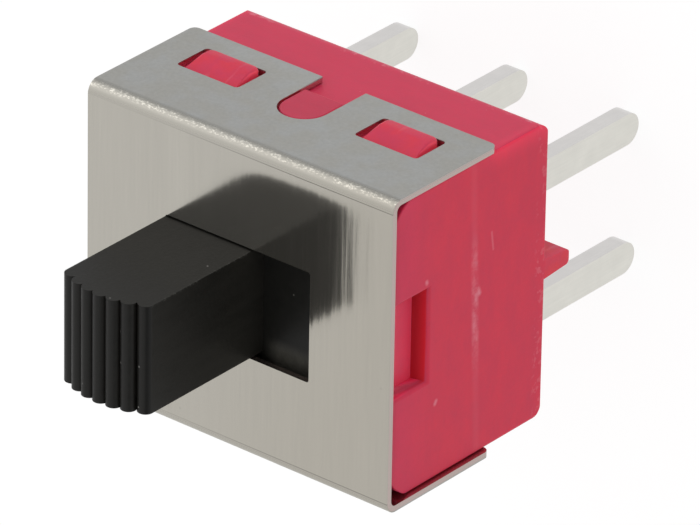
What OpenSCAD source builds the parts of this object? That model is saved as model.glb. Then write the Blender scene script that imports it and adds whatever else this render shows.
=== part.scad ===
// Miniature double-pole slide switch for a circuit board.
// The lever slides along X and stands up along Z, and the six pins point down.
// z = 0 is the foot of the rib under the case, which stands on the board.
// Everything is drawn with the lever at the -X end of its slot.

/* [Cover] */
// Length of the steel cover along the slide
cover_l = 12.8; // [12.5:0.1:16]
// Width of the cover over its two flanges
cover_w = 11.43; // [11.2:0.01:14]
// Thickness of the sheet
metal_t = 0.23; // [0.2:0.01:0.4]
// Reach of the flanges, from the front of the plate
flange_h = 5.3; // [5:0.1:6.4]
// Outside radius of the two bends
bend_r = 0.45; // [0.42:0.01:0.6]
// Corner radius at the free ends of the flanges
flange_corner_r = 0.25; // [0.1:0.05:0.6]

/* [Latches] */
// Distance from the centre to the middle of a latch window
window_x = 3.75; // [3.2:0.05:4.2]
// Length of a latch window
window_l = 2.6; // [2:0.05:3]
// Height of a latch window
window_h = 1.55; // [1.2:0.05:1.8]
// Distance from the front of the plate to the near side of a window
window_top = 2.82; // [2.4:0.02:3.1]
// Corner radius of a window
window_r = 0.15; // [0.05:0.01:0.4]
// Gap between a latch and its window, along the slide
latch_end_gap = 0.22; // [0.08:0.02:0.3]
// Gap between a latch and its window, behind its catch and before its ramp
latch_gap = 0.05; // [0.02:0.01:0.1]
// Flat part on the top of a latch, next to its catch
latch_flat = 0.55; // [0.3:0.05:0.8]
// Corner radius of a latch
latch_r = 0.25; // [0.1:0.01:0.35]
// Height of a latch's ramp over the case, at its low end
latch_toe = 0.06; // [0.02:0.01:0.1]
// How far the flat of a latch stands over the outside of its flange
latch_proud = 0.12; // [0:0.02:0.2]
// How far a boss stays under the outside of its flange
boss_sink = 0.04; // [0.02:0.01:0.15]
// Width of the locating notch in each flange
notch_w = 1.78; // [1.2:0.02:2.2]
// Distance from the front of the plate to the round end of the notch
notch_top = 2.4; // [2.2:0.05:3]
// Gap between the notch and the boss in it
notch_gap = 0.07; // [0.04:0.01:0.12]
// Length of the boss in the notch
boss_l = 1.85; // [1.4:0.05:2.2]

/* [Case] */
// How far the cover stands past the case at each end
case_end_gap = 0.15; // [0:0.01:0.3]
// Height of the case, without the rib under it
case_h = 7.92; // [7.4:0.01:9.5]
// Gap between the case and each flange
case_side_gap = 0.02; // [0.02:0.01:0.2]
// Radius of the upright corners of the case
case_r = 0.15; // [0.1:0.05:0.6]
// Radius of the two long front edges, under the bends
case_front_r = 1.35; // [0.5:0.05:1.4]
// Flat rim between those round edges and the room inside
rim_wall = 0.1; // [0.05:0.01:0.3]
// Radius of the two long back edges
case_back_r = 0.6; // [0.1:0.05:0.8]
// Radius of the two short back edges
case_foot_r = 0.08; // [0.05:0.01:0.4]
// Thickness of the end walls
end_wall = 0.75; // [0.6:0.05:0.9]
// Thickness of the floor
floor_t = 1.65; // [1:0.05:2]
// Height of the rib under the case
rib_h = 1.25; // [0.6:0.05:1.8]
// Thickness of the rib at its foot
rib_t = 0.56; // [0.42:0.02:1]
// How much thicker the rib is where it meets the case
rib_draft = 0.16; // [0:0.02:0.3]
// Radius of the rib's foot edges
rib_r = 0.16; // [0.05:0.01:0.2]
// Width of the recess in each end wall, at the plate
recess_w = 3.4; // [2:0.1:5]
// Height of the recess
recess_h = 1.92; // [1:0.02:2.4]
// Depth of the recess
recess_d = 0.6; // [0.2:0.02:0.64]
// Slope of the recess floor, from the outside in
recess_lean = 0.15; // [0:0.01:0.3]
// Width of the chamber of each pole
chamber_w = 3; // [2.8:0.1:3.6]

/* [Lever] */
// Travel of the lever from one end of its slot to the other
travel = 2.4; // [1.6:0.1:2.6]
// Length of the lever along the slide
lever_l = 3.66; // [3:0.1:3.7]
// Width of the lever across the slide
lever_w = 3.93; // [3.2:0.01:4.6]
// Height of the corners of the lever over the plate
lever_h = 5.18; // [3:0.02:8]
// Rise of the crown over those corners
crown_h = 0.4; // [0.2:0.05:1]
// Number of ribs on the crown
rib_count = 7; // [5:1:10]
// Radius of a rib, as a share of the space between two ribs
rib_round = 0.54; // [0.52:0.01:0.7]
// Gap between lever and slot at each end
lever_end_gap = 0.03; // [0.03:0.01:0.1]
// Gap between lever and slot at each side
lever_side_gap = 0.05; // [0.03:0.01:0.1]
// Corner radius of the slot in the cover
slot_r = 0.1; // [0.02:0.01:0.3]

/* [Slider] */
// Thickness of the carrier plate under the cover
carrier_t = 1; // [0.8:0.1:1.2]
// Space between the carrier and the cover
carrier_top_gap = 0.35; // [0.2:0.01:0.45]
// Width of the two rails on the carrier, which run under the cover
rail_w = 0.8; // [0.4:0.1:1.2]
// Running gap between those rails and the cover
rail_gap = 0.08; // [0.04:0.01:0.12]
// Gap between the carrier and the case, under it and beside it
carrier_gap = 0.05; // [0.03:0.01:0.1]
// How far the carrier reaches past the slot at the ends of the travel
carrier_lap = 0.02; // [0.01:0.01:0.05]
// Corner radius of the carrier
carrier_r = 0.25; // [0.1:0.05:0.5]
// Wall around the bore of each plunger
boss_wall = 0.35; // [0.25:0.05:0.5]
// Depth of carrier left over the bore of a plunger
bore_roof = 0.7; // [0.5:0.05:0.8]

/* [Terminals] */
// Distance between the pins of a row
pin_pitch = 4.7; // [4.2:0.02:4.8]
// Distance between the two rows
row_pitch = 4.83; // [4.5:0.01:5.2]
// Thickness of a pin, along the slide
pin_t = 0.64; // [0.4:0.02:0.8]
// Width of a pin, across the slide
pin_w = 1.15; // [0.8:0.05:1.4]
// Length of a pin under the foot of the rib
pin_reach = 5.15; // [3:0.05:6]
// Width of a terminal inside the case
blade_w = 2.3; // [2.2:0.05:2.5]
// Gap around a pin in the floor
pin_gap = 0.02; // [0.01:0.01:0.04]
// Height of the contact level over the floor
contact_level = 1.4; // [1.2:0.05:1.6]
// Height of the silver contact on each end terminal
contact_h = 0.35; // [0.25:0.05:0.5]
// Length of that contact across the slide
contact_w = 1.7; // [1.2:0.1:2]
// Height of the common terminal's two ears over the contact level
ear_h = 0.35; // [0.2:0.05:0.4]
// Gap between those ears and the rocker, on each side
ear_gap = 0.08; // [0.04:0.01:0.12]

/* [Rocker] */
// Thickness of the rocker strip
rocker_t = 0.25; // [0.2:0.01:0.3]
// Width of the rocker strip
rocker_w = 1.6; // [1.2:0.05:1.65]
// Length of an arm past the middle of the contact
arm_past = 0.35; // [0.2:0.05:0.5]
// Opening between contact and raised arm
contact_air = 1; // [0.7:0.05:1.1]
// Outside radius of the crimp that the rocker tips on
crimp_r = 0.45; // [0.4:0.01:0.5]
// Gap between the crimp and its saddle
saddle_gap = 0.03; // [0.02:0.01:0.05]
// Gap between an arm and a closed contact
touch_gap = 0.02; // [0.01:0.01:0.03]

/* [Plunger] */
// Diameter of a plunger
plunger_d = 1.7; // [1.4:0.05:1.8]
// Length of a plunger inside its bore
plunger_in = 1.5; // [1.2:0.1:1.7]
// Running gap around a plunger
plunger_gap = 0.05; // [0.03:0.01:0.08]
// Gap between the tip of a plunger and the rocker
tip_gap = 0.04; // [0.03:0.01:0.06]
// How far a plunger's straight side shows under its bore
plunger_out = 0.1; // [0.05:0.05:0.2]
// Outside diameter of the spring
spring_d = 1.1; // [0.9:0.05:1.2]
// Diameter of the spring wire
wire_d = 0.16; // [0.12:0.01:0.2]
// Gap around the spring in its plunger
spring_gap = 0.06; // [0.04:0.01:0.1]
// Turns of the spring
spring_turns = 5; // [4:1:7]

/* [Hidden] */
$fn = 48;
eps = 0.01;   // overlap that joins solids cleanly
past = 1;     // how far a cutting shape reaches past the surface it cuts
far = 50;     // longer than anything in the part

red = [0.76, 0.25, 0.32];
steel = [0.70, 0.69, 0.66];
black = [0.11, 0.11, 0.10];
tin = [0.85, 0.84, 0.81];
silver = [0.90, 0.90, 0.88];
brass = [0.80, 0.66, 0.36];

// Heights
rim_z = rib_h + case_h;                  // top of the case and back of the plate
plate_z = rim_z + metal_t;               // front of the plate
floor_z = rib_h + floor_t;               // inside of the case floor
contact_z = floor_z + contact_level;     // top of the contacts and axis of the rockers
carrier_z = rim_z - carrier_top_gap;     // top of the carrier
ledge_z = carrier_z - carrier_t - carrier_gap;

// Plan
case_l = cover_l - 2 * case_end_gap;
case_w = cover_w - 2 * (metal_t + case_side_gap);
inner_l = case_l - 2 * end_wall;
inner_w = case_w - 2 * (case_front_r + rim_wall);
pole_y = row_pitch / 2;
slot_l = lever_l + travel + 2 * lever_end_gap;
slot_w = lever_w + 2 * lever_side_gap;
rest_x = -travel / 2;                    // middle of the lever as drawn
carrier_l = slot_l + travel + 2 * carrier_lap;
carrier_w = inner_w - 2 * carrier_gap;

// Rocker and plunger
tip_angle = asin(contact_air / pin_pitch) / 2;   // slope of each arm on a level rocker
arm_l = pin_pitch + arm_past;
rocker_top = contact_z + touch_gap + rocker_t;   // top of the closed arm
tip_z = rocker_top + tip_gap;
plunger_r = plunger_d / 2;
bore_r = plunger_r + plunger_gap;
boss_r = bore_r + boss_wall;
boss_z = tip_z + plunger_r + plunger_out;        // open end of each plunger bore
bore_top = carrier_z - bore_roof;
plunger_top = boss_z + plunger_in;
cup_r = spring_d / 2 + spring_gap;               // bore in the back of a plunger
cup_z = tip_z + plunger_r;

// ---------------------------------------------------------------- outlines

// A rectangle about the origin with round corners
module round_rect(l, w, r) {
    square([l - 2 * r, w], center = true);
    square([l, w - 2 * r], center = true);
    for (sx = [-1, 1], sy = [-1, 1])
        translate([sx * (l / 2 - r), sy * (w / 2 - r)]) circle(r);
}

// Carries an outline in the (Y, Z) plane along X
module along_x(l) {
    rotate([90, 0, 90]) linear_extrude(l, center = true) children();
}

// Carries an outline in the (X, Z) plane along Y
module along_y(w) {
    rotate([90, 0, 0]) linear_extrude(w, center = true) children();
}

// The same thing on the +Y and on the -Y side
module both_sides() {
    children();
    mirror([0, 1, 0]) children();
}

// A band of height h over the origin, with its two lower corners round
module round_footed(w, h, r) {
    translate([-w / 2, r]) square([w, h - r]);
    translate([-w / 2 + r, 0]) square([w - 2 * r, h]);
    for (s = [-1, 1]) translate([s * (w / 2 - r), r]) circle(r);
}

// A band of height h under level z, with its two upper corners round
module round_topped(w, z, h, r) {
    translate([-w / 2, z - h]) square([w, h - r]);
    translate([-w / 2 + r, z - h]) square([w - 2 * r, h]);
    for (s = [-1, 1]) translate([s * (w / 2 - r), z - r]) circle(r);
}

// ------------------------------------------------------------------- cover

// Cut-outs of one flange in the (X, Z) plane: two windows and the open notch
module flange_cutouts() {
    for (s = [-1, 1])
        translate([s * window_x, plate_z - window_top - window_h / 2])
            round_rect(window_l, window_h, window_r);
    translate([0, plate_z - notch_top - notch_w / 2]) circle(notch_w / 2);
    translate([-notch_w / 2, plate_z - flange_h - past])
        square([notch_w, flange_h + past - notch_top - notch_w / 2]);
}

// Face of one flange in the (X, Z) plane, with its two round free corners
module flange_face() {
    z0 = plate_z - flange_h;
    r = flange_corner_r;
    translate([-cover_l / 2, z0 + r]) square([cover_l, far]);
    translate([-cover_l / 2 + r, z0]) square([cover_l - 2 * r, far]);
    for (s = [-1, 1]) translate([s * (cover_l / 2 - r), z0 + r]) circle(r);
}

// Bent section of the cover in the (Y, Z) plane
module cover_section() {
    difference() {
        round_topped(cover_w, plate_z, flange_h, bend_r);
        round_topped(cover_w - 2 * metal_t, plate_z - metal_t, flange_h, bend_r - metal_t);
    }
}

module cover() {
    color(steel) difference() {
        intersection() {
            along_x(cover_l) cover_section();
            along_y(far) flange_face();
        }
        along_y(far) flange_cutouts();
        translate([0, 0, rim_z - past])
            linear_extrude(metal_t + 2 * past) round_rect(slot_l, slot_w, slot_r);
    }
}

// -------------------------------------------------------------------- case

// Section of a latch in the (Y, Z) plane: catch below, flat, then the ramp
module latch_section() {
    top = cover_w / 2 + latch_proud;
    low = plate_z - window_top - window_h + latch_gap;
    high = plate_z - window_top - latch_gap;
    polygon([[case_w / 2 - eps, low], [top, low], [top, low + latch_flat],
             [case_w / 2 + latch_toe, high], [case_w / 2 - eps, high]]);
}

// One latch: its outline in the (X, Z) plane has round corners
module latch() {
    l = window_l - 2 * latch_end_gap;
    h = window_h - 2 * latch_gap;
    intersection() {
        along_x(l) latch_section();
        translate([0, case_w / 2, plate_z - window_top - window_h / 2])
            along_y(2 * past) round_rect(l, h, latch_r);
    }
}

// The boss in the notch: round at the front, straight at its back
module notch_boss() {
    r = notch_w / 2 - notch_gap;
    front = plate_z - notch_top - notch_gap;
    rise = cover_w / 2 - boss_sink - case_w / 2 + eps;
    translate([0, case_w / 2 - eps + rise / 2, 0])
        along_y(rise) {
            translate([0, front - r]) circle(r);
            translate([-r, front - boss_l]) square([2 * r, boss_l - r]);
        }
}

// Outside of the case without latches and bosses: a plan and two sections
module case_block() {
    intersection() {
        translate([0, 0, rib_h]) linear_extrude(case_h) round_rect(case_l, case_w, case_r);
        along_x(far) round_topped(case_w, rim_z, case_h + past, case_front_r);
        translate([0, 0, rib_h]) along_x(far) round_footed(case_w, case_h, case_back_r);
        translate([0, 0, rib_h]) along_y(far) round_footed(case_l, case_h, case_foot_r);
    }
}

// The rib under the case: it narrows towards its foot, whose edges are round
module foot_rib() {
    root = (rib_t + rib_draft) / 2;
    top = rib_h + case_foot_r;
    along_x(case_l) {
        round_footed(rib_t, rib_h, rib_r);
        polygon([[-rib_t / 2, rib_r], [rib_t / 2, rib_r], [root, rib_h], [root, top],
                 [-root, top], [-root, rib_h]]);
    }
}

// Recess in the +X end wall, open towards the plate; its floor slopes back
module end_recess() {
    out = case_l / 2;
    deep = out - recess_d;
    low = rim_z - recess_h;
    along_y(recess_w)
        polygon([[deep, rim_z + past], [out + past, rim_z + past], [out + past, low],
                 [out, low], [deep, low + recess_lean]]);
}

// Room inside: the carrier's guideway and one chamber for each pole
module case_room() {
    translate([-inner_l / 2, -inner_w / 2, ledge_z])
        cube([inner_l, inner_w, rim_z - ledge_z + past]);
    both_sides()
        translate([-inner_l / 2, pole_y - chamber_w / 2, floor_z])
            cube([inner_l, chamber_w, ledge_z - floor_z + eps]);
}

// Slots in the floor for the six pins
module pin_slots() {
    for (i = [-1, 0, 1], s = [-1, 1])
        translate([i * pin_pitch, s * pole_y, floor_z])
            cube([pin_t + 2 * pin_gap, pin_w + 2 * pin_gap, 2 * (floor_t + past)], center = true);
}

module case() {
    color(red) difference() {
        union() {
            case_block();
            foot_rib();
            both_sides() {
                notch_boss();
                for (s = [-1, 1]) translate([s * window_x, 0, 0]) latch();
            }
        }
        case_room();
        pin_slots();
        end_recess();
        mirror([1, 0, 0]) end_recess();
    }
}

// --------------------------------------------------------------- terminals

// Outline of a pin in the (Y, Z) plane, from its round tip up to the floor
module pin_outline() {
    r = pin_w / 2;
    translate([0, -pin_reach + r]) circle(r);
    translate([-r, -pin_reach + r]) square([pin_w, pin_reach - r + floor_z + eps]);
}

// End terminal: a pin and a wide blade that stands on the floor
module end_terminal(i, s) {
    top = contact_z - contact_h;
    translate([i * pin_pitch, s * pole_y, 0]) color(tin) along_x(pin_t) {
        pin_outline();
        translate([-blade_w / 2, floor_z]) square([blade_w, top - floor_z]);
    }
}

// Common terminal: its blade ends in a hollow saddle between two ears
module common_terminal(s) {
    ear_z = contact_z + ear_h;
    way = rocker_w + 2 * ear_gap;
    translate([0, s * pole_y, 0]) color(tin) difference() {
        along_x(pin_t) {
            pin_outline();
            translate([-blade_w / 2, floor_z]) square([blade_w, ear_z - floor_z]);
        }
        along_y(way) {
            translate([0, contact_z]) circle(crimp_r + saddle_gap);
            translate([-far / 2, contact_z]) square([far, ear_h + past]);
        }
    }
}

// Silver contact: a low half-round bar across the blade's top edge
module silver_contact(i, s) {
    r = (pow(pin_t / 2, 2) + pow(contact_h / 2, 2)) / contact_h;
    translate([i * pin_pitch, s * pole_y, 0]) color(silver)
        along_y(contact_w) intersection() {
            translate([-pin_t / 2, contact_z - contact_h]) square([pin_t, contact_h]);
            translate([0, contact_z - r]) circle(r);
        }
}

// ------------------------------------------------------- rockers, plungers

// A level rocker's section in the (X, Z) plane, about its tipping axis:
// two sloping arms, and between them the crimp, which is open on top
module rocker_section() {
    hollow_r = crimp_r - rocker_t;
    end = [arm_l * cos(tip_angle), arm_l * sin(tip_angle)];
    top = end + rocker_t * [-sin(tip_angle), cos(tip_angle)];
    difference() {
        union() {
            circle(crimp_r);
            polygon([[0, 0], end, top, [0, rocker_t / cos(tip_angle)],
                     [-top.x, top.y], [-end.x, end.y]]);
        }
        circle(hollow_r);
        translate([-hollow_r, 0]) square([2 * hollow_r, crimp_r + past]);
        polygon([[0, rocker_t / cos(tip_angle)], top, [top.x, top.y + past],
                 [-top.x, top.y + past], [-top.x, top.y]]);
    }
}

// The rocker as drawn is tipped onto the contact at -X
module rocker(s) {
    translate([0, s * pole_y, contact_z + touch_gap]) color(brass)
        rotate([0, -tip_angle, 0]) along_y(rocker_w) rocker_section();
}

// Half outline of a plunger: round tip, straight side and the cup for the spring
module plunger_half() {
    difference() {
        union() {
            intersection() {
                translate([0, tip_z + plunger_r]) circle(plunger_r);
                translate([0, tip_z]) square([plunger_r, plunger_r]);
            }
            translate([0, tip_z + plunger_r])
                square([plunger_r, plunger_top - tip_z - plunger_r]);
        }
        translate([-past, cup_z]) square([past + cup_r, far]);
    }
}

module plunger(s) {
    translate([rest_x, s * pole_y, 0]) color(black) rotate_extrude() plunger_half();
}

// Point k of the spring's centre line: a helix that starts and ends flat
function coil_point(k, n, z0, z1) =
    let (a = 360 * spring_turns * k / n,
         flat = 1 / spring_turns,
         u = k / n,
         v = min(1, max(0, (u - flat / 2) / (1 - flat))),
         r = (spring_d - wire_d) / 2)
    [r * cos(a), r * sin(a), z0 + (z1 - z0) * v];

// Corner j of the wire's ring at point k, in the plane through the spring's axis
function wire_corner(k, j, n, z0, z1, sides) =
    let (a = 360 * spring_turns * k / n,
         b = 360 * j / sides,
         c = coil_point(k, n, z0, z1),
         w = wire_d / 2)
    c + [w * cos(b) * cos(a), w * cos(b) * sin(a), w * sin(b)];

module spring(s) {
    sides = 8;
    rings = 16;                              // to each turn
    n = spring_turns * rings;
    z0 = cup_z + wire_d / 2 + eps;
    z1 = bore_top - wire_d / 2 - eps;
    points = [for (k = [0:n], j = [0:sides - 1]) wire_corner(k, j, n, z0, z1, sides)];
    skin = [for (k = [0:n - 1], j = [0:sides - 1])
        let (a = k * sides + j, b = k * sides + (j + 1) % sides)
        [a, b, b + sides, a + sides]];
    start = [for (j = [sides - 1:-1:0]) j];
    end = [for (j = [0:sides - 1]) n * sides + j];
    translate([rest_x, s * pole_y, 0]) color(silver)
        polyhedron(points, concat([start], skin, [end]), convexity = 10);
}

// ------------------------------------------------------------------ slider

// Lever in the (X, Z) plane about its own middle: straight sides, arched crown with ribs
module lever_outline() {
    h = plate_z + lever_h;
    round_r = lever_l / rib_count * rib_round;
    chord = lever_l - 2 * round_r;
    crown_r = (chord * chord / 4 + crown_h * crown_h) / (2 * crown_h);
    side_z = h - round_r;                    // where the straight sides end
    mid = side_z + crown_h - crown_r;
    translate([-lever_l / 2, carrier_z - eps]) square([lever_l, side_z - carrier_z + eps]);
    intersection() {
        translate([0, mid]) circle(crown_r);
        translate([-chord / 2, side_z - eps]) square([chord, crown_h + past]);
    }
    for (k = [0:rib_count - 1]) {
        x = -chord / 2 + chord * k / (rib_count - 1);
        translate([x, mid + sqrt(crown_r * crown_r - x * x)]) circle(round_r);
    }
}

// Low rail along one long edge of the carrier
module rail() {
    l = carrier_l - 2 * carrier_r;
    translate([-l / 2, carrier_w / 2 - rail_w, carrier_z - eps])
        cube([l, rail_w, carrier_top_gap - rail_gap + eps]);
}

module slider() {
    color(black) translate([rest_x, 0, 0]) difference() {
        union() {
            along_y(lever_w) lever_outline();
            translate([0, 0, carrier_z - carrier_t])
                linear_extrude(carrier_t) round_rect(carrier_l, carrier_w, carrier_r);
            both_sides() {
                translate([0, pole_y, boss_z])
                    cylinder(r = boss_r, h = carrier_z - carrier_t - boss_z + eps);
                rail();
            }
        }
        both_sides() translate([0, pole_y, boss_z - past])
            cylinder(r = bore_r, h = bore_top - boss_z + past);
    }
}

case();
cover();
slider();
end_terminal(-1, 1);  // terminal_a1
common_terminal(1);  // terminal_a2
end_terminal(1, 1);  // terminal_a3
end_terminal(-1, -1);  // terminal_b1
common_terminal(-1);  // terminal_b2
end_terminal(1, -1);  // terminal_b3
silver_contact(-1, 1);  // contact_a1
silver_contact(1, 1);  // contact_a3
silver_contact(-1, -1);  // contact_b1
silver_contact(1, -1);  // contact_b3
rocker(1);  // rocker_a
rocker(-1);  // rocker_b
plunger(1);  // plunger_a
plunger(-1);  // plunger_b
spring(1);  // spring_a
spring(-1);  // spring_b
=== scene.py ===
"""Looks for a miniature double-pole slide switch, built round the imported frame.

Lengths in the panels are in metres. Patterns are drawn in millimetres of the
shared frame: +X along the slide, +Y across it, +Z out of the front plate.
"""

import bmesh
import bpy
import numpy as np
from bpy.props import FloatProperty, FloatVectorProperty, IntProperty, PointerProperty
from mathutils import Matrix, Vector


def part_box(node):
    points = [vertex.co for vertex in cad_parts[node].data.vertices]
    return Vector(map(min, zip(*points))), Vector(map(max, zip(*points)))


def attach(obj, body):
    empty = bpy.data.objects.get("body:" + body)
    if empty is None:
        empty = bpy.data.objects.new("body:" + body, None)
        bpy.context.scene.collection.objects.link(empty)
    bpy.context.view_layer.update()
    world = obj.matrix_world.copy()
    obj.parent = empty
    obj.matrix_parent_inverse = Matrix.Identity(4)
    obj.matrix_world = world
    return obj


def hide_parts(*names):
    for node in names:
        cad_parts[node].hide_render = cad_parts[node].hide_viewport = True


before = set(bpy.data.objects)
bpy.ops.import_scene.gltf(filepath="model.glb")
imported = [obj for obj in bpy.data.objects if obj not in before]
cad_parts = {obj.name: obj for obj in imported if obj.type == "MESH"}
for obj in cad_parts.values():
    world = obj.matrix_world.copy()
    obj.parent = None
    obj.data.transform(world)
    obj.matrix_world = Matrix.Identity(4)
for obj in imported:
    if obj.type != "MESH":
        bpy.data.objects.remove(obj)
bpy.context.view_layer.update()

bl_info = {
    "name": "Slide switch looks",
    "version": (1, 0, 0),
    "blender": (4, 5, 0),
    "location": "3D Viewport > Sidebar > Switch",
    "description": "Finishes and fine pieces for a miniature slide switch",
    "category": "Object",
}

MM = 0.001


def box_mm(node):
    """Lowest and highest corner of a CAD node, in millimetres."""
    return [np.array(corner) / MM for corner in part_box(node)]


COVER_HIGH = box_mm("cover")[1]
CASE_HIGH = box_mm("case")[1]
PIN_TIP_Z = float(box_mm("terminal_a1")[0][2])
PLATE_Z = float(COVER_HIGH[2])         # front of the plate
COVER_Y = float(COVER_HIGH[1])         # outside of a flange
BEND_R = 0.45                          # outside radius of the cover's bends
ROLL_START = 4.3                       # the plate leans over from here to the bend,
ROLL_RATE = 0.037                      # by this times the cube of the way from there
CASE_X = float(CASE_HIGH[0])           # end of the case
CASE_Y = 5.465                         # flank of the case
LATCH_Y = float(CASE_HIGH[1]) - 0.22   # only the latches stand out this far
LATCH_X = 2.0                          # and they are all beyond this
RIM_Z = 9.17                           # back of the plate, where the case ends
POCKET_Z = RIM_Z - 1.84                # sloping floor of the pocket in each end
POCKET_Y = CASE_Y - 1                  # and the pockets are all inside this
RIB_Z = 1.25                           # underside of the case, round the foot of its rib
PARTING_Z, PARTING_TILT = 4.87, 0.042  # rubbed line across the ends of the case
LEVER_X, LEVER_HALF_X, LEVER_HALF_Y = -1.2, 1.83, 1.965
LEVER_SIDE = LEVER_X + LEVER_HALF_X    # flank of the lever towards the open slot

MERGE = 2e-7                           # corners nearer than this are one, in metres
FLAT = np.radians(0.6)                 # faces that turn less than this are one
CREASE = np.radians(22)                # edges that turn more than this are no curve
HARD = np.radians(38)                  # edges that turn more than this stay sharp
ONWARD = -0.8                          # cosine at a corner where a line still runs on
ROUNDED = np.radians(52)               # outer edges that turn more than this are rounded
WIDEST = 0.2 * MM                      # bevel of an edge whose weight is 1


# ------------------------------------------------------------ shader writing

class Value:
    """One output socket. Arithmetic on it adds the Math nodes it needs."""

    def __init__(self, finish, socket):
        self.finish, self.socket = finish, socket

    def math(self, operation, *values, clamp=False):
        return self.finish.node(
            "Math", {"operation": operation, "use_clamp": clamp}, dict(enumerate(values)))

    def __add__(self, other): return self.math("ADD", self, other)
    def __radd__(self, other): return self.math("ADD", other, self)
    def __sub__(self, other): return self.math("SUBTRACT", self, other)
    def __rsub__(self, other): return self.math("SUBTRACT", other, self)
    def __mul__(self, other): return self.math("MULTIPLY", self, other)
    def __rmul__(self, other): return self.math("MULTIPLY", other, self)
    def __truediv__(self, other): return self.math("DIVIDE", self, other)
    def __pow__(self, other): return self.math("POWER", self, other)
    def __abs__(self): return self.math("ABSOLUTE", self)

    def clamp(self):
        return self.math("ADD", self, 0.0, clamp=True)

    def swing(self, amount):
        """A value from 0 to 1 as a change to either side of nothing."""
        return (self - 0.5) * amount

    def least(self, other):
        return self.math("MINIMUM", self, other)

    def most(self, other):
        return self.math("MAXIMUM", self, other)

    def rise(self, start, end):
        """0 below start and 1 above end, with a smooth step between."""
        return self.finish.node(
            "MapRange", {"interpolation_type": "SMOOTHSTEP", "clamp": True},
            {"Value": self, "From Min": min(start, end), "From Max": max(start, end),
             "To Min": 0.0 if start < end else 1.0, "To Max": 1.0 if start < end else 0.0})

    def band(self, centre, half, soft):
        """1 within half of centre, and 0 beyond half + soft."""
        return abs(self - centre).rise(half + soft, half)


class Nodes:
    """A node tree being written."""

    def __init__(self, owner):
        owner.use_nodes = True
        self.tree = owner.node_tree
        self.tree.nodes.clear()

    def node(self, kind, settings=None, inputs=None, out=0):
        """Adds a node: first its settings, then the value or link of each socket."""
        made = self.tree.nodes.new("ShaderNode" + kind)
        for key, value in (settings or {}).items():
            setattr(made, key, value)
        for key, value in (inputs or {}).items():
            if isinstance(value, Value):
                self.tree.links.new(value.socket, made.inputs[key])
            else:
                made.inputs[key].default_value = value
        return Value(self, made.outputs[out]) if made.outputs else None

    def vector(self, operation, *vectors, out=0, **inputs):
        """A Vector Math node."""
        return self.node("VectorMath", {"operation": operation},
                         {**dict(enumerate(vectors)), **inputs}, out=out)

    def parts(self, vector):
        """The three numbers of a vector."""
        split = self.node("SeparateXYZ", inputs={"Vector": vector}).socket.node
        return [Value(self, output) for output in split.outputs]

    def end(self, kind, last):
        """Joins the last shader to the tree's output."""
        self.node(kind, None, {0: last})


class Finish(Nodes):
    """A material being written, with its coordinates in millimetres."""

    def __init__(self, name):
        self.material = bpy.data.materials.new(name)
        super().__init__(self.material)
        self.at = self.vector("SCALE", self.node("TexCoord", out="Object"), Scale=1 / MM)
        self.facing = self.parts(self.node("TexCoord", out="Normal"))
        self.x, self.y, self.z = self.parts(self.at)

    def stretched(self, scale, shift):
        """The coordinates, scaled along each axis and shifted."""
        return self.vector("ADD", self.vector("MULTIPLY", self.at, scale), shift)

    def noise(self, sx, sy=None, sz=None, detail=2.0, roughness=0.5, shift=(0.0, 0.0, 0.0)):
        """Noise from 0 to 1, with that many bumps to a millimetre along each axis."""
        scale = (sx, sx if sy is None else sy, sx if sz is None else sz)
        return self.node("TexNoise", None, {
            "Vector": self.stretched(scale, shift), "Scale": 1.0, "Detail": detail,
            "Roughness": roughness}, out="Fac")

    def specks(self, per_mm, size, share, stretch=(1.0, 1.0, 1.0), shift=(0.0, 0.0, 0.0)):
        """Scattered spots of a size in millimetres: a share of the cells of a Voronoi
        pattern, so many to a millimetre, hold one each."""
        place = self.stretched(tuple(per_mm * s for s in stretch), shift)
        spot = self.node("TexVoronoi", {"feature": "F1"},
                         {"Vector": place, "Scale": 1.0, "Randomness": 1.0}, out="Distance")
        tint = self.parts(Value(self, spot.socket.node.outputs["Color"]))[0]
        chosen = tint.rise(1 - share, 1 - share + 0.01)
        return spot.rise(size * per_mm, 0.3 * size * per_mm) * chosen

    def square_to(self, axis):
        """1 where a face looks along an axis, either way, and 0 where it is oblique."""
        return abs(self.facing[axis]).rise(0.6, 0.95)

    def stroke(self, a, b, start, end, half):
        """A straight mark between two points of the plane of a and b. It fades out at
        2.6 times half its width."""
        da, db = end[0] - start[0], end[1] - start[1]
        along = (((a - start[0]) * da + (b - start[1]) * db) / (da * da + db * db)).clamp()
        off_a, off_b = a - start[0] - along * da, b - start[1] - along * db
        return ((off_a * off_a + off_b * off_b) ** 0.5).rise(2.6 * half, 0.0)

    def blend(self, factor, first, second):
        """Mixes two colours. Inputs 6 and 7 and output 2 are the node's colour sockets."""
        first, second = (colour if isinstance(colour, Value) else (*colour, 1.0)
                         for colour in (first, second))
        return self.node("Mix", {"data_type": "RGBA"}, {0: factor, 6: first, 7: second}, out=2)

    def shaded(self, colour, amount):
        """A colour made lighter or darker by a number."""
        return self.vector("SCALE", colour, Scale=amount)

    def bump(self, height, depth):
        """Relief whose height runs from 0 to 1 over a depth in millimetres."""
        return self.node("Bump", None, {"Height": height, "Strength": 1.0,
                                        "Distance": depth * MM}, out="Normal")

    def surface(self, **inputs):
        """Ends the material with a Principled surface; names use _ for a space."""
        self.end("OutputMaterial", self.node("BsdfPrincipled", None, {
            key.replace("_", " "): value for key, value in inputs.items()}))
        return self.material


# ------------------------------------------------------------------- finishes

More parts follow.
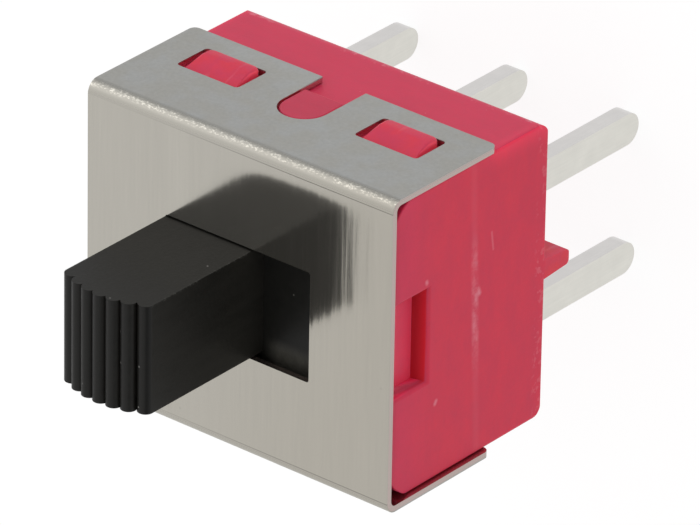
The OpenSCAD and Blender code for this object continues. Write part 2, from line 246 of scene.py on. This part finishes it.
def steel_finish(settings):
    """Tinned sheet. The section of the cover tells the skin from the cut edges, and
    gives the turn round the bend: 0 on the plate and 1 on a flange. The skin is drawn
    lengthwise on the plate, grainy on the crown of the bend and dull on the flange.
    The colour carries painted light as well: a cooler, darker tint on the flanges,
    glints on the crown of the bend, and painted shade in two bands across the bend, in
    a thin line on the plate beside it and towards the plate's +X end."""
    f = Finish("cover_steel")
    over_side = (BEND_R - COVER_Y + abs(f.y)).most(0.0)
    over_top = (BEND_R - PLATE_Z + f.z).most(0.0)
    depth = BEND_R - (over_side * over_side + over_top * over_top) ** 0.5   # under the skin
    turn = over_side.math("ARCTAN2", over_side, over_top) / (np.pi / 2)
    cut = depth.rise(0.02, 0.06)
    flange = turn.rise(0.8, 1.0)
    plate = turn.rise(0.12, 0.0)
    bend = turn.band(0.5, 0.2, 0.3)
    crown = turn.band(0.6, 0.08, 0.16)

    grain = f.noise(14, 0.35, 14, detail=3, roughness=0.7)
    streak = f.noise(1.9, 0.07, 1, detail=2, roughness=0.5)
    broad = f.noise(1.1, 0.12, 0.4, detail=2)
    mottle = f.noise(8, detail=3, roughness=0.65)
    cloud = f.noise(1.3, detail=2, shift=(4.0, 1.0, 2.0))
    grit = f.noise(9, 15, 15, detail=2, roughness=0.6)
    pits = f.specks(1.3, 0.06, 0.25)
    # painted shade: the plate's colour darkens towards its +X end
    plate_shade_ramp = (f.x * 0.12 - f.y * 0.05 + 0.35).clamp()

    skin = f.blend(plate_shade_ramp, settings.plate_colour, settings.plate_shaded_colour)
    # painted light: the flanges get a cooler, darker tint than the plate, though the sheet is
    # one steel; their dullness is real roughness
    skin = f.blend(turn.rise(0.5, 1.0), skin, settings.flange_colour)
    skin = f.blend(flange * cloud.rise(0.35, 0.7), skin, settings.flange_cool_colour)
    # grain, mottle and pits are real; on the crown of the bend grit lightens the colour in
    # spots as painted glints, and two bands across the bend get painted shade
    tone = (1 + plate * (grain.swing(0.09) + broad.swing(0.07))
            + flange * mottle.swing(0.26)
            + crown * (grit.rise(0.44, 0.76) * 0.78 - 0.16) - pits * 0.1
            - turn.band(0.22, 0.08, 0.16) * 0.08 - turn.band(0.84, 0.04, 0.14) * 0.12)
    # painted shade: a thin dark line on the plate beside the bend, stronger towards +X
    crease = over_side.band(0.024, 0.006, 0.017) * (0.05 + f.x.rise(-5.5, 4.5) * 0.42)
    tone = tone * (1 - crease)
    colour = f.blend(cut, f.shaded(skin, tone), settings.edge_colour)

    lean = (abs(f.y) - ROLL_START).most(0.0).least(COVER_Y - BEND_R - ROLL_START)
    roll = lean * lean * lean * -ROLL_RATE
    relief = (plate * (grain * 0.001 + streak * f.x.rise(-1.5, 3) * 0.013)
              + crown * grit * 0.012 + flange * (mottle * 0.003 + cloud * 0.004))
    rough = 0.135 + plate * grain.swing(0.05) + bend * 0.2 + flange * 0.3
    rough = (rough * (1 - cut) + cut * 0.2).clamp()
    return f.surface(Base_Color=colour, Metallic=0.97, Roughness=rough,
                     Normal=f.bump(relief + roll, 1.0))


def case_finish(settings):
    """Red moulded thermoset with a satin grain, a little translucent. The ends have a
    painted glow beside one edge and painted shade under the cover, and carry a rubbed
    line, scratches and nicks; the flanks have a painted glow near the ends. The thin
    latches are clearer, with pale streaks that are painted highlights. The pocket in
    each end has a deeper red floor with painted shade that darkens inwards, and a
    painted lighter back wall and end walls."""
    f = Finish("case_plastic")
    ends, sides = f.square_to(0), f.square_to(1)
    outside = (abs(f.y) - CASE_Y).rise(0.03, 0.08)
    latch = abs(f.x).rise(LATCH_X, LATCH_X + 0.2)
    rib = f.z.rise(RIB_Z + 0.05, RIB_Z - 0.05) * abs(f.y).rise(1.0, 0.9)
    proud = (outside * latch + rib).clamp()
    boss = outside * abs(f.x).rise(LATCH_X + 0.2, LATCH_X)
    bare = f.z.rise(PLATE_Z - 4.4, PLATE_Z - 6)
    # painted glow: lighter colour on the ends beside the +Y edge, more where the flange leaves
    # the top bare, and on the flanks near the ends
    glow = (ends * (CASE_Y - f.y).rise(0.9, -0.15) * (0.08 + bare * 0.3)
            + sides * (CASE_X - abs(f.x)).rise(0.5, 0.0) * 0.12)
    shade = ends * f.z.rise(RIM_Z - 0.45, RIM_Z)
    flow = f.noise(0.7, 0.7, 1.6, detail=3)
    fine = f.noise(7, detail=3, roughness=0.6)
    grain = f.noise(28, detail=2)
    broken = f.noise(2.6, detail=3, roughness=0.6)

    line = abs(f.z - f.y * PARTING_TILT - PARTING_Z).rise(0.25, 0.03)
    rubbed = ends * line * (0.1 + f.y.band(0.2, 1.0, 2.0) * broken.rise(0.3, 0.7) * 0.9)
    scuff = f.specks(0.9, 0.09, 0.16, stretch=(1.0, 1.0, 0.6))
    nick = f.specks(2.3, 0.035, 0.2, shift=(3.1, 7.7, 1.9))
    hit = (f.stroke(f.y, f.z, (1.85, 4.0), (2.5, 4.1), 0.03) * 0.5
           + f.stroke(f.y, f.z, (0.5, 4.66), (0.78, 4.78), 0.06) * broken.rise(0.3, 0.6)
           + f.stroke(f.y, f.z, (1.96, 7.38), (2.01, 7.4), 0.05)
           + f.stroke(f.y, f.z, (-2.68, 6.84), (-2.6, 6.79), 0.05)) * f.facing[0].rise(0.6, 0.9)
    back = (f.z.band(1.74, 0.04, 0.16) * sides + f.z.band(1.5, 0.1, 0.3) * ends * 0.5
            ) * f.noise(3.5, detail=2, roughness=0.7, shift=(5.5, 2.5, 0.0)).rise(0.55, 0.66)
    # painted highlights: pale streaks on the latches and the rib
    streaks = proud * f.noise(2.2, 0.5, 0.35, detail=2, shift=(0.6, 2.0, 7.0)).rise(0.6, 0.75)
    # painted light: the back wall of each end pocket is lighter and pinker
    lit_back_wall = ends * (CASE_X - abs(f.x)).rise(0.3, 0.5)
    # real rubbed lines, scratches, scuffs and nicks, plus painted highlights on the latches and
    # painted light on the pocket's back wall
    marks = (rubbed * 0.5 + hit * 0.5 + scuff * 0.3 + nick * 0.45 + back * 0.34
             + streaks * 0.25 + lit_back_wall * 0.08 + proud * 0.035).clamp()

    # painted shade: the pocket's sloping floor gets a deeper red that darkens inwards
    pocket = f.facing[2].rise(0.7, 0.9) * f.z.band(POCKET_Z, 0.1, 0.1)
    inward = (CASE_X - abs(f.x)).rise(0.05, 0.5)
    # painted light: the end walls of each pocket are lighter
    lit_end_wall = (sides * f.z.rise(POCKET_Z - 0.16, POCKET_Z + 0.04)
                * abs(f.y).rise(POCKET_Y, POCKET_Y - 1))
    # tone holds random flow and grain, the painted glow, painted shade under the cover, painted
    # light on the ends and pocket walls, and a darker boss
    tone = 1 + flow.swing(0.16) + fine.swing(0.12) + glow - shade * 0.16
    tone = tone * (1 + lit_end_wall * 0.25 + ends * 0.015 + lit_back_wall * 0.25 - boss * 0.14)
    clear = f.noise(1.7, detail=2, shift=(0.3, 4.1, 8.0)).rise(0.35, 0.7)
    warm = ends * f.z.rise(9.0, 6.5) * (0.15 + flow * 0.55)
    colour = f.blend((proud * clear * 0.7 + warm).clamp(), settings.colour,
                     settings.latch_colour)
    colour = f.shaded(colour, tone)
    colour = f.blend(pocket, colour, f.shaded(settings.pocket_shaded_colour, 1.1 - inward * 0.35))
    colour = f.blend(marks, colour, settings.scuff_and_highlight_colour)
    rough = 0.44 + fine.swing(0.12) + scuff * 0.15
    return f.surface(Base_Color=colour, Roughness=rough.clamp(), Specular_IOR_Level=0.34,
                     Subsurface_Weight=0.3, Subsurface_Radius=(1.0, 0.16, 0.14),
                     Subsurface_Scale=0.35 * MM,
                     Normal=f.bump(grain * 0.6 + fine, 0.003))


def lever_finish(settings):
    """Black nylon: satin grain, faint rubbed streaks, worn corners and a few dust
    specks. Painted shade darkens the crown's last corner; painted light makes the
    sides lighter, most of all near the plate, and lightens the floor of the slot at
    its lit end."""
    f = Finish("lever_plastic")
    fine = f.noise(9, detail=3, roughness=0.6)
    streak = f.noise(6, 3, 0.5, detail=2)
    grain = f.noise(30, detail=2)
    dust = f.specks(1.9, 0.045, 0.42, shift=(2.3, 0.4, 5.2))
    # painted shade: darker on the last corner of the crown
    crown = (f.facing[2].band(0.5, 0.22, 0.15) * f.z.rise(PLATE_Z, 12)
             * f.x.rise(LEVER_SIDE - 0.32, LEVER_SIDE - 0.22))
    # painted light: the lever's sides are lighter, most of all near the plate
    side = f.square_to(0)
    foot = side * f.z.rise(PLATE_Z + 2.6, PLATE_Z)
    # painted light: the slider's floor in the slot beyond the lever, towards -Y, is much
    # lighter
    sunk = (f.z.rise(PLATE_Z, PLATE_Z - 0.3) * f.y.rise(-1.2, -1.75)
            * f.x.rise(LEVER_SIDE, LEVER_SIDE + 0.8))
    tone = (1 + fine.swing(0.5) + streak.swing(0.6)) * (1 - crown * 0.6)
    tone = tone * (1 + side * 0.25 + foot * 0.9 + sunk * 6)
    colour = f.shaded(settings.colour, tone)
    corner = (LEVER_HALF_X - abs(f.x - LEVER_X)).most(LEVER_HALF_Y - abs(f.y))
    patchy = f.noise(9, detail=3, roughness=0.7, shift=(1.7, 3.3, 0.6)).rise(0.5, 0.72)
    worn = corner.rise(0.085, 0.03) * f.z.rise(PLATE_Z, PLATE_Z + 0.2) * patchy
    colour = f.blend((dust * 0.6 + worn * 0.16).clamp(), colour, settings.dust_colour)
    rough = 0.42 + fine.swing(0.16) + streak.swing(0.1)
    return f.surface(Base_Color=colour, Roughness=rough.clamp(), Specular_IOR_Level=0.24,
                     Normal=f.bump(grain * 0.5 + fine, 0.004))


def terminal_finish(settings):
    """Plated copper alloy: drawn lines down each pin and small bright nicks."""
    f = Finish("terminal_metal")
    lines = f.noise(12, 12, 0.5, detail=3, roughness=0.7)
    cloud = f.noise(1.6, detail=3)
    nick = f.specks(1.7, 0.07, 0.25)
    # painted shade: the pins' ±Y sides get a darker, cooler tint than their faces
    side = abs(f.facing[1]).rise(0.5, 0.9)
    colour = f.blend(side, settings.face_colour, settings.side_shaded_colour)
    colour = f.shaded(colour, 1 + lines.swing(0.12) + cloud.swing(0.14) + nick * 0.12)
    rough = 0.32 + lines.swing(0.12) + cloud.swing(0.1)
    return f.surface(Base_Color=colour, Metallic=1.0, Roughness=rough.clamp(),
                     Normal=f.bump(lines * 0.6 + cloud * 1.2, 0.005))


def metal_finish(name, colour, roughness, per_mm):
    """Plain small metal parts inside: fine turning or rolling marks."""
    f = Finish(name)
    marks = f.noise(per_mm, per_mm * 0.3, per_mm, detail=3)
    cloud = f.noise(2.5, detail=2)
    tint = f.shaded(colour, 1 + marks.swing(0.15) + cloud.swing(0.15))
    return f.surface(Base_Color=tint, Metallic=1.0,
                     Roughness=(roughness + marks.swing(0.1)).clamp(),
                     Normal=f.bump(marks, 0.002))


def acetal_finish(name, colour):
    """Natural acetal: waxy, with faint turning lines round the plunger."""
    f = Finish(name)
    rings = f.noise(0.5, 0.5, 24, detail=2)
    cloud = f.noise(3, detail=2)
    tint = f.shaded(colour, 1 + cloud.swing(0.12))
    return f.surface(Base_Color=tint, Roughness=(0.4 + rings.swing(0.15)).clamp(),
                     Normal=f.bump(rings, 0.002))


# ------------------------------------------------------------------ geometry

def add_object(name, data):
    """Links a new object to the scene."""
    made = bpy.data.objects.new(name, data)
    bpy.context.scene.collection.objects.link(made)
    return made


def add_piece(name, mesh, body, material, replaced):
    """Links a mesh as a piece that rides on a body and stands for CAD nodes."""
    piece = add_object(name, mesh)
    mesh.materials.clear()
    mesh.materials.append(material)
    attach(piece, body)
    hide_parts(*replaced)
    return piece


def turns_off(edge, other):
    """True where two edges that share a corner aren't a smooth run of one line."""
    corner = next(v for v in edge.verts if v in other.verts)
    one = (edge.other_vert(corner).co - corner.co).normalized()
    two = (other.other_vert(corner).co - corner.co).normalized()
    return one.dot(two) > ONWARD


def mark_open_edges(work, radius, wide):
    """Weighs the sharp outer edges for a bevel: their radius as a share of the widest.
    An edge is left out when one that meets it at a crease is shorter than twice its
    radius. Where wide gives a larger radius, edges that run on in line don't count."""
    weight = work.edges.layers.float.new("bevel_weight_edge")
    crease = {edge for edge in work.edges
              if len(edge.link_faces) == 2 and edge.calc_face_angle(0.0) > CREASE}
    for edge in crease:
        near = (set(edge.verts[0].link_edges) | set(edge.verts[1].link_edges)) & crease
        larger = wide((edge.verts[0].co + edge.verts[1].co) / (2 * MM))
        turning = [other.calc_length() for other in near - {edge} if turns_off(edge, other)]
        if larger and min(turning, default=1.0) >= 2 * larger:
            wanted = larger
        else:
            wanted = radius if min(other.calc_length() for other in near) >= 2 * radius else 0
        if edge.is_convex and edge.calc_face_angle(0.0) > ROUNDED and wanted:
            edge[weight] = wanted / WIDEST
        elif edge.calc_face_angle(0.0) > HARD:
            edge.smooth = False


def softened_copy(node, name, body, material, radius, wide=lambda at: None):
    """A merged copy of a CAD node, whose sharp edges a bevel rounds off. wide gives
    a larger radius, or None, at a point in millimetres."""
    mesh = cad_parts[node].data.copy()
    mesh.name = name
    work = bmesh.new()
    work.from_mesh(mesh)
    bmesh.ops.remove_doubles(work, verts=work.verts, dist=MERGE)
    bmesh.ops.dissolve_limit(work, angle_limit=FLAT, verts=work.verts, edges=work.edges)
    for face in work.faces:
        face.smooth = True
    mark_open_edges(work, radius, wide)
    work.to_mesh(mesh)
    work.free()
    piece = add_piece(name, mesh, body, material, [node])
    bevel = piece.modifiers.new("soft edges", "BEVEL")
    bevel.width = WIDEST
    bevel.segments = 3
    bevel.limit_method = "WEIGHT"
    bevel.use_clamp_overlap = False
    level = piece.modifiers.new("level faces", "WEIGHTED_NORMAL")
    level.mode, level.weight, level.keep_sharp = "FACE_AREA", 100, True
    return piece


def grid_mesh(name, points, tube=False):
    """A mesh over a grid of points [u, v, 3]. A tube is closed round v, and a fan
    closes each of its two ends."""
    nu, nv = points.shape[:2]
    index = np.arange(nu * nv).reshape(nu, nv)
    a, b = index[:-1], index[1:]
    if tube:
        quads = np.stack([a, b, np.roll(b, -1, 1), np.roll(a, -1, 1)], -1)
    else:
        quads = np.stack([a[:, :-1], b[:, :-1], b[:, 1:], a[:, 1:]], -1)
    vertices = points.reshape(-1, 3)
    faces = quads.reshape(-1, 4).tolist()
    if tube:
        ends = np.stack([points[0].mean(0), points[-1].mean(0)])
        vertices = np.concatenate([vertices, ends])
        first, last = index[0], index[-1]
        centre = nu * nv
        faces += np.stack([np.full(nv, centre), first, np.roll(first, -1)], -1).tolist()
        faces += np.stack([np.full(nv, centre + 1), np.roll(last, -1), last], -1).tolist()
    mesh = bpy.data.meshes.new(name)
    mesh.from_pydata(vertices.tolist(), [], faces)
    mesh.polygons.foreach_set("use_smooth", np.ones(len(mesh.polygons), bool))
    mesh.update()
    return mesh


def coil_points(centre, radius, wire, low, high, turns, rings=40, sides=12):
    """A coil spring's skin. The centre line is a helix whose height stays level
    for the first and last half turn; each ring, of which a turn has so many, is a
    circle of the wire in the plane through the spring's axis."""
    u = np.linspace(0, 1, turns * rings + 1)[:, None]
    v = np.arange(sides)[None, :] / sides * 2 * np.pi
    angle = 2 * np.pi * turns * u
    flat = 1 / turns
    height = low + (high - low) * np.clip((u - flat / 2) / (1 - flat), 0, 1)
    r = radius + wire / 2 * np.cos(v)
    return np.stack([centre[0] + r * np.cos(angle), centre[1] + r * np.sin(angle),
                     height + wire / 2 * np.sin(v)], -1)


# ----------------------------------------------------------------- properties

def swatch(name, description, default):
    return FloatVectorProperty(name=name, description=description, subtype="COLOR",
                               size=3, min=0.0, max=1.0, default=default)


def length(name, description, default):
    return FloatProperty(name=name, description=description, default=default,
                         min=0.0, unit="LENGTH", subtype="DISTANCE", precision=6)


class CoverSettings(bpy.types.PropertyGroup):
    plate_colour: swatch("Plate", "Tint of the front plate", (0.53, 0.508, 0.455))
    # painted shade: the plate's tint towards its +X end
    plate_shaded_colour: swatch("Plate, far end", "Tint of its end, with painted shade", (0.49, 0.463, 0.405))
    # painted light: the flanges' cooler, darker tint
    flange_colour: swatch("Flange", "Tint of the two flanges", (0.43, 0.425, 0.4))
    flange_cool_colour: swatch("Flange patches", "Tint of its cool patches",
                               (0.44, 0.445, 0.437))
    edge_colour: swatch("Sheared edge", "Tint of the cut edges", (0.56, 0.46, 0.43))
    edge_radius: length("Edge radius", "Rounding of the sheet's edges", 0.035 * MM)


class CaseSettings(bpy.types.PropertyGroup):
    colour: swatch("Plastic", "Colour of the moulding", (0.645, 0.024, 0.082))
    # painted shade: the deeper red of the pocket floors
    pocket_shaded_colour: swatch("Pocket", "Colour of the sloping floor of the end pockets",
                          (0.66, 0.012, 0.03))
    latch_colour: swatch("Latch", "Colour of the thin plastic of the latches",
                         (0.72, 0.022, 0.05))
    # also the colour of painted highlights on the latches and rib and painted light on the
    # pocket walls
    scuff_and_highlight_colour: swatch("Scuffs", "Colour of rubbed spots and painted highlights", (0.85, 0.35, 0.42))
    pocket_radius: length("Pocket radius", "Rounding of the end pockets", 0.13 * MM)
    latch_radius: length("Latch radius", "Rounding of the latches", 0.14 * MM)
    edge_radius: length("Edge radius", "Rounding of the moulded edges", 0.05 * MM)


class LeverSettings(bpy.types.PropertyGroup):
    colour: swatch("Plastic", "Colour of the lever", (0.0078, 0.0074, 0.0062))
    dust_colour: swatch("Dust", "Colour of the dust specks", (0.35, 0.34, 0.32))
    edge_radius: length("Edge radius", "Rounding of the lever's edges", 0.045 * MM)


class TerminalSettings(bpy.types.PropertyGroup):
    face_colour: swatch("Face", "Tint of the broad faces", (0.85, 0.835, 0.775))
    # painted shade: tint of the pins' ±Y sides
    side_shaded_colour: swatch("Side", "Tint of the sides, with painted shade", (0.81, 0.79, 0.775))
    edge_radius: length("Edge radius", "Rounding of the blanked edges", 0.06 * MM)


class InsideSettings(bpy.types.PropertyGroup):
    silver: swatch("Contact", "Tint of the silver contacts", (0.88, 0.88, 0.86))
    rocker: swatch("Rocker", "Tint of the rockers", (0.84, 0.80, 0.70))
    plunger: swatch("Plunger", "Colour of the plungers", (0.78, 0.76, 0.69))
    spring: swatch("Spring", "Tint of the springs", (0.62, 0.62, 0.62))
    wire: length("Wire", "Diameter of the spring wire", 0.16 * MM)
    turns: IntProperty(name="Turns", description="Turns of a spring", default=5, min=3)


class StageSettings(bpy.types.PropertyGroup):
    floor: swatch("Floor", "Colour of the floor", (0.16, 0.16, 0.16))
    glow: FloatProperty(name="Floor glow", description="Light given off by the floor",
                        default=0.88, min=0.0)
    fill: FloatProperty(name="Fill light", description="Strength of the light all round",
                        default=1.06, min=0.0)
    glow_side: FloatProperty(name="Side light", description="Extra light from the far side",
                             default=0.2, min=0.0)
    dark_side: FloatProperty(name="Dark side", description="Light missing over the far end",
                             default=0.6, min=0.0, max=1.0)
    key: FloatProperty(name="Key light", description="Radiance of the key softbox",
                       default=0.45, min=0.0)


# ------------------------------------------------------------------ operators

class SWITCH_OT_cover(bpy.types.Operator):
    """Folded steel cover with softened edges"""
    bl_idname = "switch.cover"
    bl_label = "Cover"

    def execute(self, context):
        s = context.scene.switch_cover
        softened_copy("cover", "steel_cover", "housing", steel_finish(s),
                      s.edge_radius)
        return {"FINISHED"}


class SWITCH_OT_case(bpy.types.Operator):
    """Red moulded case with softened edges"""
    bl_idname = "switch.case"
    bl_label = "Case"

    def execute(self, context):
        s = context.scene.switch_case
        softened_copy("case", "moulded_case", "housing", case_finish(s),
                      s.edge_radius, wide=lambda at: self.wide(at, s))
        return {"FINISHED"}

    def wide(self, at, s):
        """The radius round the pockets in the ends and along the latches."""
        if abs(at.y) > LATCH_Y and abs(at.x) > LATCH_X:
            return s.latch_radius
        pocket = (abs(at.x) > CASE_X - 0.05 and abs(at.y) < POCKET_Y
                  and POCKET_Z - 0.36 < at.z < RIM_Z - 0.05)
        return s.pocket_radius if pocket else None


class SWITCH_OT_lever(bpy.types.Operator):
    """Black slider with its ribbed lever"""
    bl_idname = "switch.lever"
    bl_label = "Lever"

    def execute(self, context):
        s = context.scene.switch_lever
        softened_copy("slider", "ribbed_lever", "slider", lever_finish(s),
                      s.edge_radius)
        return {"FINISHED"}


class SWITCH_OT_terminals(bpy.types.Operator):
    """Six flat pins with their blades inside the case"""
    bl_idname = "switch.terminals"
    bl_label = "Terminals"

    def execute(self, context):
        s = context.scene.switch_terminals
        finish = terminal_finish(s)
        for pole in "ab":
            for place in "123":
                softened_copy(f"terminal_{pole}{place}", f"pin_{pole}{place}", "housing",
                              finish, s.edge_radius)
        return {"FINISHED"}


class SWITCH_OT_inside(bpy.types.Operator):
    """Contacts, rockers, plungers and springs in the case"""
    bl_idname = "switch.inside"
    bl_label = "Inside"

    def execute(self, context):
        s = context.scene.switch_inside
        silver = metal_finish("contact_silver", s.silver, 0.3, 10)
        strip = metal_finish("rocker_metal", s.rocker, 0.35, 8)
        wire = metal_finish("spring_steel", s.spring, 0.28, 16)
        acetal = acetal_finish("plunger_plastic", s.plunger)
        finishes = {"contact": silver, "rocker": strip, "plunger": acetal}
        for name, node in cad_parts.items():
            found = finishes.get(name.split("_")[0])
            if found:
                node.data.materials.clear()
                node.data.materials.append(found)
        for pole in "ab":
            low, high = (np.array(corner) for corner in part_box("spring_" + pole))
            centre = (low + high) / 2
            mesh = grid_mesh("coil_" + pole, coil_points(
                centre, (high[0] - low[0]) / 2 - s.wire / 2, s.wire,
                low[2] + s.wire / 2, high[2] - s.wire / 2, s.turns), tube=True)
            add_piece("coil_" + pole, mesh, "slider", wire,
                      ["spring_" + pole])
        return {"FINISHED"}


class SWITCH_OT_stage(bpy.types.Operator):
    """Pale floor, soft light all round, a key softbox and the camera"""
    bl_idname = "switch.stage"
    bl_label = "Stage"

    def execute(self, context):
        s = context.scene.switch_stage
        scene = context.scene
        scene.view_settings.view_transform = "Standard"
        self.make_floor(s)
        world = bpy.data.worlds.new("tent")
        tent = Nodes(world)
        towards = tent.node("TexCoord", out="Generated")

        def lobe(direction, start, full):
            """1 towards a direction, falling to 0 beyond a cone round it."""
            aim = tuple(Vector(direction).normalized())
            return tent.vector("DOT_PRODUCT", towards, aim, out="Value").rise(start, full)

        under_bend = lobe((-0.56, 0.75, -0.33), 0.84, 1.0)      # seen in the cover's bend
        under_end = lobe((0.56, -0.47, -0.68), 0.4, 1.0)        # in the end of the case
        beside_crown = lobe((0.72, -0.47, 0.52), 0.88, 0.96)    # in the flanks of the ribs
        over_bend = lobe((-0.56, 0.76, 0.3), 0.3, 1.0)          # in the top of the bend
        light = s.fill * (1 - 0.35 * under_bend - 0.06 * under_end
                          - s.dark_side * beside_crown + s.glow_side * over_bend)
        tent.end("OutputWorld", tent.node("Background", None, {"Strength": light}))
        scene.world = world
        self.make_key(towards=Vector((-0.52, 0.72, 0.46)), distance=0.42, size=0.24,
                      radiance=s.key)
        self.make_camera(scene)
        return {"FINISHED"}

    def make_floor(self, s):
        """A wide flat square under the tips of the pins."""
        half = 3.0
        across = np.linspace(-half, half, 9)
        points = np.stack(np.meshgrid(across, across, [PIN_TIP_Z * MM], indexing="ij"), -1)
        f = Finish("floor")
        shade = f.noise(0.004, detail=1)
        tone = f.shaded(s.floor, 1 + shade.swing(0.02))
        f.surface(Base_Color=tone, Roughness=0.9, Specular_IOR_Level=0.0,
                  Emission_Color=(1.0, 1.0, 1.0, 1.0), Emission_Strength=s.glow)
        floor = add_object("floor", grid_mesh("floor", points[::-1, :, 0]))
        floor.data.materials.append(f.material)
        floor.visible_glossy = floor.visible_diffuse = False

    def make_key(self, towards, distance, size, radiance):
        """A square softbox at a distance, aimed at the switch."""
        light = bpy.data.lights.new("key", "AREA")
        light.shape, light.size = "SQUARE", size
        light.energy = radiance * np.pi * size * size
        lamp = add_object("key", light)
        middle = Vector((0, 0, 5 * MM))
        lamp.location = middle + towards.normalized() * distance
        lamp.rotation_euler = (-towards).to_track_quat("-Z", "Y").to_euler()
        lamp.visible_camera = False

    def make_camera(self, scene):
        """A long lens that looks down on the plate, the flange and one end. The three
        directions are the camera's own axes in the shared frame."""
        right = Vector((0.76971459, 0.01565755, -0.63819612))
        down = Vector((0.31324054, -0.88034427, 0.35619423))
        ahead = Vector((-0.55625517, -0.4740768, -0.68251841))
        lens = bpy.data.cameras.new("camera")
        lens.sensor_width, lens.lens = 36.0, 462.857
        lens.clip_start, lens.clip_end = 0.01, 20.0
        camera = add_object("camera", lens)
        turn = Matrix((right, -down, -ahead)).transposed().to_4x4()
        place = Vector((164.30, 139.01, 205.23)) * MM
        camera.matrix_world = Matrix.Translation(place) @ turn
        scene.camera = camera


class SWITCH_PT_panel(bpy.types.Panel):
    """Lists the pieces of the switch and their settings"""
    bl_idname = "SWITCH_PT_panel"
    bl_label = "Slide switch"
    bl_space_type = "VIEW_3D"
    bl_region_type = "UI"
    bl_category = "Switch"

    def draw(self, context):
        for operator, group in STEPS:
            column = self.layout.column(align=True)
            column.operator(operator.bl_idname)
            settings = getattr(context.scene, settings_name(operator))
            for name in group.__annotations__:
                column.prop(settings, name)


STEPS = [(SWITCH_OT_cover, CoverSettings), (SWITCH_OT_case, CaseSettings),
         (SWITCH_OT_lever, LeverSettings), (SWITCH_OT_terminals, TerminalSettings),
         (SWITCH_OT_inside, InsideSettings), (SWITCH_OT_stage, StageSettings)]


def settings_name(operator):
    """The scene's property that holds the settings of an operator."""
    return operator.bl_idname.replace(".", "_")


def register():
    for operator, group in STEPS:
        bpy.utils.register_class(group)
        bpy.utils.register_class(operator)
        setattr(bpy.types.Scene, settings_name(operator), PointerProperty(type=group))
    bpy.utils.register_class(SWITCH_PT_panel)


def unregister():
    bpy.utils.unregister_class(SWITCH_PT_panel)
    for operator, group in reversed(STEPS):
        delattr(bpy.types.Scene, settings_name(operator))
        bpy.utils.unregister_class(operator)
        bpy.utils.unregister_class(group)


def main():
    register()
    for operator, _ in STEPS:
        getattr(bpy.ops.switch, operator.bl_idname.split(".")[1])()


if __name__ == "__main__":
    main()
